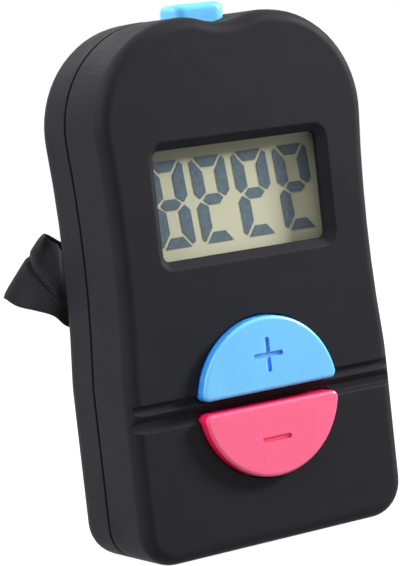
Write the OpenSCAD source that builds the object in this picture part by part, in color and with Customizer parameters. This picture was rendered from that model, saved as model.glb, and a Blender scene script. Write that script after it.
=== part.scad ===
// Digital hand tally counter: two moulded shells round a liquid crystal display, a circuit
// board with three push switches, a coin cell behind a bayonet lid and a webbing strap.
// Millimetres. +Z runs up the counter, the display faces -Y, +X is on the right as the
// display is read, and the origin is the middle of the flat foot.

/* [Case] */
// Width of the case across its foot
body_w = 39.9; // [39.5:0.1:45]
// Distance from the top of the display holder up to the crown
crown_gap = 12.9; // [12.8:0.05:18]
// Depth of the case from its front face to its back face
body_d = 16.5; // [16.3:0.1:18]
// Depth of the front shell, from the front face to the seam
front_d = 8.8; // [8.4:0.1:9]
// Thickness of the moulded walls
wall = 1.6; // [1.4:0.1:1.8]
// Radius of the rounded edge round the front face
front_edge_r = 1.7; // [1:0.1:2.6]
// Radius of the rounded edge round the back face
back_edge_r = 3; // [1:0.1:3.2]
// Radius of the two bottom corners
foot_r = 4.6; // [3.6:0.1:5]
// Radius of the two shoulders
shoulder_r = 13.3; // [12:0.1:15]
// Radius of the crown between the shoulders
crown_r = 85; // [70:1:120]
// How far each side is drawn in at the waist
waist_in = 0.8; // [0.4:0.1:1.2]
// Radius of the hollow curve of the waist
waist_r = 168; // [140:2:220]
// Radius that blends the waist into the straight lower side
waist_blend_r = 30; // [10:1:50]
// Height of the narrowest place of the waist
waist_z = 39; // [37:0.1:41]
// Width of the groove along the seam
seam_w = 0.5; // [0.2:0.1:0.8]
// Depth of the groove along the seam
seam_cut = 0.35; // [0.1:0.05:0.5]
// Thickness of the tongue that locates the back cover in the front shell
tongue_t = 0.8; // [0.6:0.1:1]
// How far that tongue reaches past the seam
tongue_reach = 1.4; // [0.8:0.1:2]
// Gap between the tongue and the front shell
tongue_gap = 0.1; // [0.05:0.05:0.2]

/* [Groove] */
// Height of the middle of the double groove across the front
groove_z = 18.95; // [18:0.05:20]
// Height that the two channels take together
groove_h = 3.6; // [3:0.1:4.4]
// Depth of the upper channel
groove_upper_cut = 0.45; // [0.2:0.05:0.7]
// Depth of the lower channel
groove_lower_cut = 0.7; // [0.3:0.05:0.9]
// Height of the ridge between the channels above the middle of the groove
ridge_rise = 0.42; // [0.2:0.02:0.6]

/* [Display] */
// Width of the display window
window_w = 24.6; // [22:0.2:26]
// Height of the display window
window_h = 13.8; // [12:0.1:15]
// Gap between the retaining rim of the keys and the rib round the display holder
display_gap = 0.45; // [0.3:0.05:3]
// Radius of the corners of the window
window_r = 0.9; // [0.5:0.1:2]
// Width of the sloping frame round the window
bevel_w = 1.1; // [0.6:0.1:1.6]
// Depth of the sloping frame
bevel_cut = 1.0; // [0.6:0.1:1.2]
// Margin of the display glass beside and above the window
glass_margin = 2.3; // [1.8:0.1:2.4]
// Thickness of each pane of the display
glass_t = 0.7; // [0.5:0.05:0.8]
// Height of the contact ledge along the bottom of the front pane
ledge_h = 2.6; // [2.2:0.1:2.8]
// Thickness of the foam gasket behind the window
gasket_t = 0.3; // [0.2:0.05:0.5]
// Thickness of the polarising film
film_t = 0.15; // [0.1:0.05:0.2]
// Thickness of the reflecting foil behind the display
foil_t = 0.18; // [0.1:0.02:0.3]
// Thickness of the dark segments
segment_t = 0.07; // [0.05:0.01:0.1]
// Wall of the display holder
holder_wall = 1; // [0.8:0.1:1.2]
// Thickness of the rib round the display holder
rib_t = 0.8; // [0.6:0.1:1]
// Height of that rib
rib_h = 1; // [0.6:0.1:1.4]

/* [Digits] */
// Height of a digit
digit_h = 11; // [9:0.1:12]
// Width of a digit
digit_w = 5.2; // [4.8:0.1:5.6]
// Distance from one digit to the next
digit_pitch = 6.3; // [6.1:0.05:6.4]
// Distance of the middle of the row of digits to the right of the window's middle
digit_shift = 0.2; // [0:0.1:0.4]
// Width of the upright segments
upright_w = 1.65; // [1.2:0.05:1.8]
// Height of the level segments
level_h = 1.35; // [1:0.05:1.5]
// Gap between two segments
segment_gap = 0.3; // [0.15:0.05:0.35]
// How far the corners of a digit are cut back
corner_cut = 0.4; // [0.2:0.05:0.5]
// Sideways lean of a digit for each millimetre of height
lean = 0.09; // [0:0.002:0.12]

/* [Keys] */
// Radius of the round pair of keys
key_r = 10.25; // [9:0.05:10.6]
// Height of the middle of the round pair of keys
key_z = 18.9; // [18.6:0.1:19.6]
// Gap between the upper key and the lower key
key_gap = 1.6; // [1.3:0.1:2]
// How far the keys stand out of the front face
key_rise = 1.4; // [0.9:0.1:2]
// How far a key goes in when it is pressed
key_travel = 0.6; // [0.3:0.05:0.65]
// Gap between a key and its hole
key_clear = 0.2; // [0.1:0.05:0.3]
// Radius of the two corners of a half-round key
key_corner_r = 0.9; // [0.6:0.1:1.4]
// Radius of the rounded rim of a key
key_edge_r = 0.5; // [0.2:0.05:0.55]
// Thickness of a key's skin
key_wall = 1.2; // [1:0.1:1.4]
// Width of the rim that keeps a key in its hole
key_rim = 0.9; // [0.6:0.1:1.1]
// Length of the engraved plus and minus signs
mark_len = 4.5; // [3:0.1:5]
// Width of the engraved signs
mark_w = 0.65; // [0.3:0.05:0.8]
// Depth of the engraved signs
mark_cut = 0.3; // [0.1:0.05:0.5]

/* [Power key] */
// Width of the power key on the crown
power_w = 8.2; // [6:0.1:8.4]
// Depth of the power key, from front to back
power_d = 4.8; // [4:0.1:5]
// How far the power key stands above the crown
power_rise = 1.5; // [0.8:0.1:2]
// Radius of the corners of the power key, seen from above
power_r = 2; // [1.3:0.1:2]
// Radius of the rounded rim of the power key
power_edge_r = 0.9; // [0.3:0.1:1.2]
// Distance of the middle of the power key in front of the seam
power_ahead = 0.9; // [0.6:0.1:1.1]
// Depth of the thumb scoop at the front face
scoop_cut = 1.2; // [0.6:0.1:1.3]
// Radius of the hollow of the thumb scoop
scoop_r = 10; // [8:0.5:14]
// Radius that blends the scoop into the crown on each side
scoop_blend_r = 9; // [6:0.5:10]

/* [Electronics] */
// Distance of the circuit board in front of the seam
board_gap = 0.8; // [0.6:0.1:1]
// Thickness of the circuit board
board_t = 1.2; // [0.8:0.1:1.3]
// Width and height of a push switch
switch_w = 6; // [5.6:0.1:6.4]
// Height of the body of a push switch above the board
switch_h = 2.5; // [2.3:0.05:2.6]
// How far a push switch's plunger stands out of its body
plunger_rise = 0.7; // [0.65:0.05:0.9]
// Radius of the plunger
plunger_r = 1.7; // [1.2:0.1:2]
// Depth of the body of the power switch behind the board
power_switch_d = 3.5; // [3:0.1:3.8]
// Height of the body of the power switch
power_switch_h = 3.8; // [3:0.1:5]
// Radius of the plunger of the power switch
power_plunger_r = 1; // [0.8:0.1:1.2]
// Radius of the resin dome over the controller
dome_rim_r = 4.6; // [3:0.1:6]
// Height of the resin dome
dome_rise = 1.5; // [1:0.1:2]
// Length of the timing crystal's can
crystal_l = 6; // [5:0.5:8]
// Radius of the timing crystal's can
crystal_r = 1; // [0.8:0.1:1.5]
// Length of a chip capacitor or resistor
chip_l = 2; // [1.6:0.1:3.2]
// Width of a chip capacitor or resistor
chip_w = 1.2; // [0.8:0.1:1.6]
// Height of a chip capacitor
capacitor_t = 0.9; // [0.5:0.1:1.2]
// Height of a chip resistor
resistor_t = 0.5; // [0.4:0.1:0.7]

/* [Battery] */
// Radius of the coin cell
cell_r = 5.8; // [5:0.1:6]
// Thickness of the coin cell
cell_t = 5.4; // [4.6:0.1:5.5]
// Height of the middle of the battery bay
bay_z = 16.5; // [15.6:0.1:17.5]
// Thickness of the disc of the battery lid
lid_t = 1.3; // [1.1:0.1:1.4]
// Width of the seat that the disc of the lid rests on
lid_seat = 1.6; // [1.3:0.1:1.8]
// Length of the coin slot in the lid
coin_slot_l = 9.5; // [8:0.5:11]
// Width of the coin slot
coin_slot_w = 1.4; // [1.2:0.1:2]
// Depth of the coin slot
coin_slot_cut = 0.7; // [0.5:0.1:0.9]
// Angle that the lid turns through to open
lid_turn = 50; // [40:1:60]
// Gap round the turning lid
lid_gap = 0.1; // [0.08:0.01:0.15]
// Thickness of the sheet of the battery contacts
contact_t = 0.2; // [0.15:0.05:0.3]
// Width of the battery contacts
contact_w = 4; // [3:0.1:4.4]

/* [Fasteners] */
// Radius of the screw bosses of the case
boss_r = 2.2; // [2:0.1:2.4]
// Radius of the shank of a case screw
screw_r = 1; // [0.8:0.05:1.1]
// Length of the shank of a case screw
screw_len = 10; // [9:0.1:10.4]
// Radius of the head of a case screw
screw_head_r = 1.8; // [1.7:0.05:1.9]
// Radius of the posts that carry the circuit board
post_r = 1.8; // [1.6:0.1:2]
// Radius of the shank of a board screw
post_screw_r = 0.85; // [0.7:0.05:0.9]
// Length of the shank of a board screw
post_screw_len = 4.4; // [3.5:0.1:4.8]
// Radius of the head of a board screw
post_head_r = 1.6; // [1.4:0.1:1.8]

/* [Strap] */
// Width of the webbing
strap_w = 10; // [8:0.5:11]
// Thickness of the webbing
strap_t = 0.9; // [0.7:0.1:1]
// Height of the middle of the webbing where it leaves the case
strap_z = 34.8; // [34:0.1:35.6]
// Distance of each strap slot from the middle of the case
strap_x = 14.6; // [14:0.1:15]
// Radius of the steel pins that hold the ends of the webbing
pin_r = 0.6; // [0.5:0.05:0.7]

/* [Hidden] */
$fn = 48;

// Small overshoot that lets cuts and joints pass clean through a face
eps = 0.05;
// Gap at which two still pieces count as seated
seat = 0.1;

// Planes of the case along Y, from the front to the back
front_y = -body_d / 2;
back_y = body_d / 2;
seam_y = front_y + front_d;
skin_y = front_y + wall;
lining_y = back_y - wall;

// Circuit board: it lies in front of the seam
board_y = seam_y - board_gap - board_t;
board_back_y = board_y + board_t;

// Display stack behind the front wall
film_y = skin_y + gasket_t;
glass_y = film_y + film_t;
segment_y = glass_y + glass_t;
rear_glass_y = segment_y + segment_t;
foil_y = rear_glass_y + glass_t;
shelf_y = foil_y + foil_t;
glass_play = 0.15;
rib_gap = 0.2;
window_z = key_z + key_r + key_rim + display_gap + rib_t + rib_gap + holder_wall + glass_play
    + ledge_h + glass_margin + window_h / 2;
glass_half_w = window_w / 2 + glass_margin;
glass_top_z = window_z + window_h / 2 + glass_margin;
glass_foot_z = window_z - window_h / 2 - glass_margin;
ledge_foot_z = glass_foot_z - ledge_h;
holder_half_w = glass_half_w + glass_play + holder_wall;
holder_top_z = glass_top_z + glass_play + holder_wall;
holder_foot_z = ledge_foot_z - glass_play - holder_wall;
body_h = holder_top_z + crown_gap;

// Case outline: centres of the arcs that make up its right side
half_w = body_w / 2;
waist_c = [half_w - waist_in + waist_r, waist_z];
blend_angle = acos(1 - waist_in / (waist_r + waist_blend_r));
blend_c = [half_w - waist_blend_r, waist_z - (waist_r + waist_blend_r) * sin(blend_angle)];
crown_c = [0, body_h - crown_r];
shoulder_c = circle_meet(crown_c, crown_r - shoulder_r, waist_c, waist_r + shoulder_r);
shoulder_start = angle_of(waist_c - shoulder_c);
shoulder_end = angle_of(shoulder_c - crown_c);
waist_end = angle_of(shoulder_c - waist_c);

// Screw bosses: two above the foot and two inside the shoulders
boss_low = [half_w - 5.7, foot_r + 2.4];
boss_high = shoulder_c + (shoulder_r - 2.5 * boss_r) * [cos(32), sin(32)];
boss_places = [for (p = [boss_low, boss_high], s = [-1, 1]) [s * p[0], p[1]]];
screw_seat_y = back_y - 2;

// Outline of the circuit board and the posts that it is screwed to
board_half_w = half_w - waist_in - wall - tongue_gap - tongue_t - 0.4;
board_foot_z = boss_low[1] + boss_r + 0.4;
board_neck_z = boss_high[1] - boss_r - 0.4;
board_neck_w = boss_high[0] - boss_r - 0.4;
post_x = board_half_w - post_r - 0.1;
post_places = [for (z = [board_foot_z + 1.3 * post_r, key_z + 0.88 * key_r], s = [-1, 1]) [s * post_x, z]];

// Keys: the cap's back face rests on the plunger of its switch
key_face_y = front_y - key_rise;
switch_face_y = board_y - switch_h;
key_back_y = switch_face_y - plunger_rise;
mark_rise = key_gap / 2 + (key_r - key_gap / 2) * 0.48;

// Power key and the thick pad of wall that guides it
power_y = seam_y - power_ahead;
pad_z = body_h - scoop_cut - wall;
pad_half_w = power_w / 2 + 3;
power_flange_z = pad_z - seat;
power_flange_t = 1;
power_foot_z = power_flange_z - power_flange_t;
power_switch_y = board_back_y + power_switch_d / 2;
plunger_show = 0.5;
power_switch_top = power_foot_z - key_travel - plunger_show;
board_top_z = power_switch_top;

// Battery bay and lid, from the back face inwards
lid_plug_r = cell_r + 0.25;
bay_hole_r = lid_plug_r + lid_gap;
lid_r = bay_hole_r + lid_seat;
lid_floor_y = back_y - lid_t - eps;
catch_t = 0.6;
catch_y = lid_floor_y - catch_t;
lug_t = 0.5;
lug_top_y = catch_y - eps;
plug_end_y = lug_top_y - lug_t;
lug_r = lid_plug_r + 0.9;
lug_half_angle = 15;
bay_outer_r = lug_r + 1.4;
cell_back_y = plug_end_y - seat;
cell_front_y = cell_back_y - cell_t;

// Strap: its ends loop round pins behind the back wall
pin_y = lining_y - pin_r - strap_t - 0.3;
slot_half_w = strap_t / 2 + 0.3;
slot_half_h = strap_w / 2 + 0.6;

// Angle of a vector
function angle_of(v) = atan2(v[1], v[0]);

// Where two circles meet, on the left of the way from the first centre to the second
function circle_meet(a, ra, b, rb) =
    let (
        gap = norm(b - a),
        along = (gap * gap + ra * ra - rb * rb) / (2 * gap),
        across = sqrt(ra * ra - along * along),
        u = (b - a) / gap
    )
    a + along * u + across * [-u[1], u[0]];

// An outline is a list of arcs [centre, radius, first angle, last angle, steps, side].
// side is 1 on a bulging arc and -1 on a hollow one, so an inset keeps every arc's centre.
function arc_points(arc, inset) =
    let (r = arc[1] - arc[5] * inset)
    [for (i = [0 : arc[4]])
        let (a = arc[2] + (arc[3] - arc[2]) * i / arc[4])
        arc[0] + r * [cos(a), sin(a)]];

function all_points(arcs, inset) = [for (arc = arcs) each arc_points(arc, inset)];

// Points of an outline, with each point that two arcs share kept once
function outline_points(arcs, inset) =
    let (
        plain = all_points(arcs, 0),
        moved = all_points(arcs, inset),
        n = len(plain)
    )
    [for (i = [0 : n - 1]) if (norm(plain[i] - plain[(i + 1) % n]) > 0.001) moved[i]];

// The same arcs on the left, in the order that closes the outline
function mirrored(arcs) =
    [for (i = [len(arcs) - 1 : -1 : 0])
        let (arc = arcs[i])
        [[-arc[0][0], arc[0][1]], arc[1], 180 - arc[3], 180 - arc[2], arc[4], arc[5]]];

right_side = [
    [[half_w - foot_r, foot_r], foot_r, -90, 0, 8, 1],
    [blend_c, waist_blend_r, 0, blend_angle, 2, 1],
    [waist_c, waist_r, 180 + blend_angle, waist_end, 6, -1],
    [shoulder_c, shoulder_r, shoulder_start, shoulder_end, 16, 1]
];
crown = [[crown_c, crown_r, shoulder_end, 180 - shoulder_end, 6, 1]];
case_arcs = concat(right_side, crown, mirrored(right_side));

// Outline with a thumb scoop of the given depth pressed into the middle of the crown
function scooped_arcs(depth) =
    let (
        hollow_c = [0, body_h - depth + scoop_r],
        blend_c = circle_meet(hollow_c, scoop_r + scoop_blend_r, crown_c, crown_r - scoop_blend_r),
        blend_start = angle_of(blend_c - crown_c),
        blend_end = angle_of(hollow_c - blend_c),
        right = concat(right_side, [
            [crown_c, crown_r, shoulder_end, blend_start, 3, 1],
            [blend_c, scoop_blend_r, blend_start, blend_end, 6, 1]
        ])
    )
    concat(right, [[hollow_c, scoop_r, blend_end - 180, -blend_end, 8, -1]], mirrored(right));

// The scoop runs evenly past the power key and fades out towards the back face
scoop_end = 0.1;
scoop_fade_y = power_y + power_d / 2;
function scoop_depth(y) =
    let (t = min(max((y - scoop_fade_y) / (back_y - scoop_fade_y), 0), 1))
    scoop_end + (scoop_cut - scoop_end) * (1 + cos(180 * t)) / 2;

// A rectangle w by h round centre c with corners of radius r
function rectangle_arcs(c, w, h, r, steps) =
    [for (q = [0 : 3])
        let (sx = q == 0 || q == 3 ? 1 : -1, sz = q < 2 ? 1 : -1)
        [c + [sx * (w / 2 - r), sz * (h / 2 - r)], r, 90 * q, 90 * (q + 1), steps, 1]];

window_arcs = rectangle_arcs([0, window_z], window_w, window_h, window_r, 5);
power_arcs = rectangle_arcs([0, 0], power_w, power_d, power_r, 6);

// Upper key: a half disc with rounded corners
key_corner_z = key_gap / 2 + key_corner_r;
key_corner_x = sqrt(pow(key_r - key_corner_r, 2) - pow(key_corner_z, 2));
key_corner_angle = atan2(key_corner_z, key_corner_x);
key_arcs = [
    [[key_corner_x, key_corner_z], key_corner_r, -90, key_corner_angle, 8, 1],
    [[0, 0], key_r, key_corner_angle, 180 - key_corner_angle, 40, 1],
    [[-key_corner_x, key_corner_z], key_corner_r, 180 - key_corner_angle, 270, 8, 1]
];

// Rings of a rounded edge of radius r at plane y; toward is 1 where the solid lies at +Y.
// With past above 0 the first ring runs that share of a step beyond the plane, to be cut flat.
function rounded_edge(y, r, toward, steps, past = 0) =
    [for (i = [0 : steps])
        let (a = 90 * i / steps, b = 90 / steps)
        i == 0
            ? [y - toward * past * r * (1 - cos(b)), r + past * r * sin(b)]
            : [y + toward * r * (1 - cos(a)), r * (1 - sin(a))]];

function reversed(v) = [for (i = [len(v) - 1 : -1 : 0]) v[i]];

// Loft of one outline through rings [y, inset] that follow each other along +Y
module loft(arcs, rings) {
    skin([for (ring = rings) [ring[0], outline_points(arcs, ring[1])]]);
}

// Solid through rings [y, points] that follow each other along +Y, all with as many points
module skin(rings) {
    n = len(rings[0][1]);
    points = [for (ring = rings, p = ring[1]) [p[0], ring[0], p[1]]];
    sides = [for (k = [0 : len(rings) - 2], i = [0 : n - 1])
        let (a = k * n + i, b = k * n + (i + 1) % n)
        each [[a, b, a + n], [b, b + n, a + n]]];
    front = [for (i = [n - 1 : -1 : 0]) i];
    back = [for (i = [0 : n - 1]) (len(rings) - 1) * n + i];
    polyhedron(points, concat([front], sides, [back]), convexity = 6);
}

// Extrude a shape drawn in X and Z from plane y0 to plane y1
module slab(y0, y1) {
    translate([0, y1, 0]) rotate([90, 0, 0]) linear_extrude(y1 - y0) children();
}

module outline(arcs, inset = 0) {
    polygon(outline_points(arcs, inset));
}

// Cylinder along Y
module rod(p, r, y0, y1) {
    translate([p[0], y1, p[1]]) rotate([90, 0, 0]) cylinder(r = r, h = y1 - y0);
}

// Block between two corners
module block(low, high) {
    translate(low) cube(high - low);
}

// Outer form of the rear cover with its end of the thumb scoop, cut flat at the seam and the back
module rear_form() {
    step_y = seam_y + seam_w / 2;
    edge_y = back_y - back_edge_r;
    fade_steps = 3;
    rings = concat(
        [[seam_y - wall, seam_cut], [step_y, seam_cut], [step_y, 0]],
        [for (i = [0 : fade_steps - 1]) [scoop_fade_y + (edge_y - scoop_fade_y) * i / fade_steps, 0]],
        reversed(rounded_edge(back_y, back_edge_r, -1, 7, 0.5)));
    intersection() {
        skin([for (ring = rings) [ring[0], outline_points(scooped_arcs(scoop_depth(ring[0])), ring[1])]]);
        block([-body_w, seam_y, -wall], [body_w, back_y, body_h + wall]);
    }
}

// Outer form of the front shell with the thumb scoop, cut flat at the front face and the seam
module front_form() {
    lip_y = seam_y - seam_w / 2;
    intersection() {
        loft(scooped_arcs(scoop_cut), concat(rounded_edge(front_y, front_edge_r, 1, 6, 0.5),
            [[lip_y, 0], [lip_y, seam_cut], [seam_y + wall, seam_cut]]));
        block([-body_w, front_y, -wall], [body_w, seam_y, body_h + wall]);
    }
}

// Hollow of the case from y0 to y1, which leaves a pad under the crown round the power key
module cavity(y0, y1) {
    slab(y0, y1) difference() {
        outline(case_arcs, wall);
        translate([-pad_half_w, pad_z]) square([2 * pad_half_w, body_h]);
    }
}

// Band that follows the inside of the case wall, between two insets
module wall_band(inset_out, inset_in, y0, y1) {
    slab(y0, y1) difference() {
        outline(case_arcs, inset_out);
        outline(case_arcs, inset_in);
    }
}

// Hole for the power key through the crown
module power_hole() {
    translate([0, power_y, 0]) rotate([90, 0, 0])
        loft(power_arcs, [[pad_z - 1, -key_clear], [body_h + 1, -key_clear]]);
}

// Cut for the double groove across the front
module groove_cut() {
    top = groove_z + groove_h / 2;
    foot = groove_z - groove_h / 2;
    ridge = groove_z + ridge_rise;
    profile = [
        [-1, top], [groove_upper_cut, top - 0.12], [groove_upper_cut, ridge + 0.4],
        [0, ridge + 0.05], [0, ridge - 0.05], [groove_lower_cut, ridge - 0.85],
        [groove_lower_cut, foot + 0.45], [0, foot], [-1, foot]
    ];
    translate([-body_w, front_y, 0]) rotate([90, 0, 90]) linear_extrude(2 * body_w) polygon(profile);
}

module front_shell() {
    color("#2b2c2f") difference() {
        union() {
            difference() {
                front_form();
                cavity(skin_y, seam_y + 1);
            }
            for (p = boss_places) rod(p, boss_r, skin_y - eps, seam_y);
            for (p = post_places) rod(p, post_r, skin_y - eps, board_y);
            frame_rib();
        }
        loft(window_arcs, [[front_y - bevel_cut, -2 * bevel_w], [front_y + bevel_cut, 0],
            [skin_y + 1, 0]]);
        groove_cut();
        for (s = [0, 1]) key_place(s) slab(front_y - 1, skin_y + eps) outline(key_arcs, -key_clear);
        power_hole();
        for (p = boss_places) rod(p, screw_r + eps, seam_y - front_d + wall + 1, seam_y + 1);
        for (p = post_places) rod(p, post_screw_r + eps, skin_y + 0.6, board_y + 1);
    }
}

// Low rib on the back of the front wall that frames the display holder
module frame_rib() {
    difference() {
        block([-holder_half_w - rib_gap - rib_t, skin_y - eps, holder_foot_z - rib_gap - rib_t],
            [holder_half_w + rib_gap + rib_t, skin_y + rib_h, holder_top_z + rib_gap]);
        block([-holder_half_w - rib_gap, skin_y - 1, holder_foot_z - rib_gap],
            [holder_half_w + rib_gap, skin_y + rib_h + 1, holder_top_z + 2]);
    }
}

// Children drawn for the upper key are placed there, or turned half round for the lower key
module key_place(lower) {
    translate([0, 0, key_z]) rotate([0, 180 * lower, 0]) children();
}

// One key cap: a rounded half disc, hollow behind, with a retaining rim and a pressing post
module key_cap() {
    rim_front_y = skin_y + seat;
    difference() {
        union() {
            loft(key_arcs, concat(rounded_edge(key_face_y, key_edge_r, 1, 5), [[rim_front_y + eps, 0]]));
            slab(rim_front_y, key_back_y) intersection() {
                outline(key_arcs, -key_rim);
                translate([-2 * key_r, key_gap / 6]) square(4 * key_r);
            }
        }
        slab(key_face_y + key_wall + mark_cut, key_back_y + 1) difference() {
            circle(r = key_r - key_wall);
            translate([-key_r, -key_r]) square([2 * key_r, key_r + key_gap / 2 + key_wall]);
            translate([0, mark_rise]) circle(r = plunger_r + 0.8);
        }
    }
}

// Engraved stroke with round ends
module stroke_shape() {
    square([mark_len - mark_w, mark_w], center = true);
    for (s = [-1, 1]) translate([s * (mark_len - mark_w) / 2, 0]) circle(r = mark_w / 2);
}

// Engraved sign of the children, drawn round the middle of the sign
module mark() {
    slab(key_face_y - 1, key_face_y + mark_cut) translate([0, mark_rise]) children();
}

module plus_button() {
    color("#7fcfff") key_place(0) difference() {
        key_cap();
        mark() union() {
            stroke_shape();
            rotate(90) stroke_shape();
        }
    }
}

module minus_button() {
    color("#ff6f9c") key_place(1) difference() {
        key_cap();
        mark() stroke_shape();
    }
}

module power_button() {
    top_z = body_h + power_rise;
    color("#78dcff") {
        translate([0, power_y, 0]) rotate([90, 0, 0])
            loft(power_arcs, concat([[power_flange_z - eps, 0]],
                reversed(rounded_edge(top_z, power_edge_r, -1, 5))));
        translate([0, power_y, 0]) rotate([90, 0, 0])
            loft(power_arcs, [[power_foot_z, -0.7], [power_flange_z, -0.7]]);
    }
}

module rear_cover() {
    color("#2b2c2f") difference() {
        union() {
            difference() {
                rear_form();
                cavity(seam_y - 1, lining_y);
            }
            difference() {
                union() {
                    wall_band(wall + tongue_gap, wall + tongue_gap + tongue_t, seam_y - tongue_reach, seam_y + 1);
                    wall_band(wall - eps, wall + tongue_gap + tongue_t, seam_y, seam_y + 1);
                }
                block([-pad_half_w - 0.3, seam_y - 2 * tongue_reach, pad_z - 2],
                    [pad_half_w + 0.3, seam_y, body_h]);
            }
            for (p = boss_places) rod(p, boss_r + 0.4, seam_y, lining_y + eps);
            rod([0, bay_z], bay_outer_r, board_back_y + 0.3, lining_y + eps);
            for (s = [-1, 1]) pin_cradle(s);
        }
        power_hole();
        for (p = boss_places) {
            rod(p, screw_r + 0.15, seam_y - 1, back_y);
            rod(p, screw_head_r + 0.25, screw_seat_y, back_y + 1);
        }
        bay_cut();
        for (s = [-1, 1])
            block([s * strap_x - slot_half_w, lining_y - 1, strap_z - slot_half_h],
                [s * strap_x + slot_half_w, back_y + 1, strap_z + slot_half_h]);
    }
}

// Stepped hole of the battery bay, with the channel and the two notches for the lid's lugs
module bay_cut() {
    c = [0, bay_z];
    rod(c, cell_r + 0.3, board_back_y, catch_y);
    rod(c, lug_r + lid_gap, plug_end_y - seat, catch_y);
    rod(c, bay_hole_r, catch_y - eps, back_y + 1);
    rod(c, lid_r + lid_gap, lid_floor_y, back_y + 1);
    for (s = [0, 180]) translate([0, 0, bay_z]) rotate([0, s, 0])
        slab(catch_y - eps, lid_floor_y + eps) sector(lug_r + lid_gap, lug_half_angle + 3);
    slit_half_h = contact_w / 2 + 2 * lid_gap;
    block([0, board_back_y, bay_z - slit_half_h], [bay_outer_r + 1, cell_back_y - lug_t, bay_z + slit_half_h]);
}

// Sector of a disc, half_angle to each side of +X
module sector(r, half_angle) {
    intersection() {
        circle(r = r);
        polygon([[0, 0], 2 * r * [cos(half_angle), -sin(half_angle)],
            2 * r * [1, 0], 2 * r * [cos(half_angle), sin(half_angle)]]);
    }
}

// Two ribs on the back wall that hold the ends of a strap pin
module pin_cradle(s) {
    rib_t = 1.2;
    for (t = [-1, 1]) {
        z = strap_z + t * (slot_half_h + rib_t / 2);
        difference() {
            block([s * strap_x - 2, pin_y - pin_r - 0.8, z - rib_t / 2],
                [s * strap_x + 2, lining_y + eps, z + rib_t / 2]);
            translate([s * strap_x, pin_y, z - rib_t]) cylinder(r = pin_r + eps, h = 2 * rib_t);
        }
    }
}

module battery_lid() {
    color("#2b2c2f") difference() {
        union() {
            rod([0, bay_z], lid_r, lid_floor_y + eps, back_y);
            rod([0, bay_z], lid_plug_r, plug_end_y, lid_floor_y + 2 * eps);
            for (s = [0, 180]) translate([0, 0, bay_z]) rotate([0, s - lid_turn, 0])
                slab(plug_end_y, lug_top_y) sector(lug_r, lug_half_angle);
        }
        rod([0, bay_z], lid_plug_r - 1.2, plug_end_y - 1, plug_end_y + 0.5);
        block([-coin_slot_l / 2, back_y - coin_slot_cut, bay_z - coin_slot_w / 2],
            [coin_slot_l / 2, back_y + 1, bay_z + coin_slot_w / 2]);
    }
}

module lcd_gasket() {
    color("#1b1b1d") slab(skin_y, film_y) difference() {
        outline(window_arcs, -glass_margin + 0.3);
        outline(window_arcs, -0.3);
    }
}

module lcd_polariser() {
    color("#c9cdb9", 0.4) slab(film_y, glass_y) outline(window_arcs, -glass_margin + 0.5);
}

module lcd_front_glass() {
    color("#d8dccb", 0.4)
        block([-glass_half_w, glass_y, ledge_foot_z], [glass_half_w, segment_y, glass_top_z]);
}

module lcd_rear_glass() {
    color("#d8dccb", 0.4)
        block([-glass_half_w, rear_glass_y, glass_foot_z], [glass_half_w, foil_y, glass_top_z]);
}

module lcd_reflector() {
    color("#c8c6a4")
        block([-glass_half_w + 0.4, foil_y, glass_foot_z + 0.4],
            [glass_half_w - 0.4, shelf_y, glass_top_z - 0.4]);
}

// Segments of a digit by letter: a top, b and c right, d foot, e and f left, g middle
hw = digit_w / 2;
hh = digit_h / 2;
inner_x = hw - upright_w;
tip_x = hw - corner_cut;
waist_x = hw - 0.4 * upright_w;
top_bar = [
    [-tip_x + segment_gap, hh], [tip_x - segment_gap, hh],
    [inner_x - segment_gap / 3, hh - level_h], [-inner_x + segment_gap / 3, hh - level_h]
];
side_bar = [
    [tip_x, hh - segment_gap], [hw, hh - 2 * segment_gap], [hw, 3 * segment_gap],
    [waist_x, 0.7 * segment_gap], [inner_x, 3 * segment_gap],
    [inner_x, hh - level_h - 2 * segment_gap]
];
middle_tip_x = waist_x - 1.5 * segment_gap;
middle_flat_x = inner_x - segment_gap / 2;
middle_bar = [
    [-middle_tip_x, 0], [-middle_flat_x, level_h / 2], [middle_flat_x, level_h / 2],
    [middle_tip_x, 0], [middle_flat_x, -level_h / 2], [-middle_flat_x, -level_h / 2]
];
segment_shapes = [
    ["a", top_bar, [1, 1]], ["b", side_bar, [1, 1]], ["c", side_bar, [1, -1]],
    ["d", top_bar, [1, -1]], ["e", side_bar, [-1, -1]], ["f", side_bar, [-1, 1]],
    ["g", middle_bar, [1, 1]]
];
// Segments that are dark in each digit, from left to right
shown = ["abcdefg", "abdefg", "abdefg", "abdefg"];

module lcd_segments() {
    color("#3f4f63") for (i = [0 : len(shown) - 1], shape = segment_shapes)
        if (len(search(shape[0], shown[i])) > 0)
            translate([digit_shift + (i - (len(shown) - 1) / 2) * digit_pitch, 0, window_z])
                slab(segment_y, rear_glass_y)
                    polygon([for (p = shape[1])
                        [shape[2][0] * p[0] - lean * shape[2][1] * p[1], shape[2][1] * p[1]]]);
}

strip_half_w = glass_half_w - holder_wall;
strip_play = 0.12;
module lcd_holder() {
    color("#3a3b3e") difference() {
        block([-holder_half_w, film_y, holder_foot_z], [holder_half_w, board_y, holder_top_z]);
        block([-glass_half_w - glass_play, film_y - 1, ledge_foot_z - glass_play],
            [glass_half_w + glass_play, shelf_y, glass_top_z + glass_play]);
        block([-strip_half_w - strip_play, shelf_y - 1, ledge_foot_z + strip_play],
            [strip_half_w + strip_play, board_y + 1, glass_foot_z - 2 * strip_play]);
        block([-glass_half_w + 2, shelf_y + 0.8, glass_foot_z + 2],
            [glass_half_w - 2, board_y + 1, glass_top_z - 1]);
    }
}

module zebra_strip() {
    color("#d9d4cf")
        block([-strip_half_w, segment_y, ledge_foot_z + 2 * strip_play],
            [strip_half_w, board_y, glass_foot_z - 3 * strip_play]);
}

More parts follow.
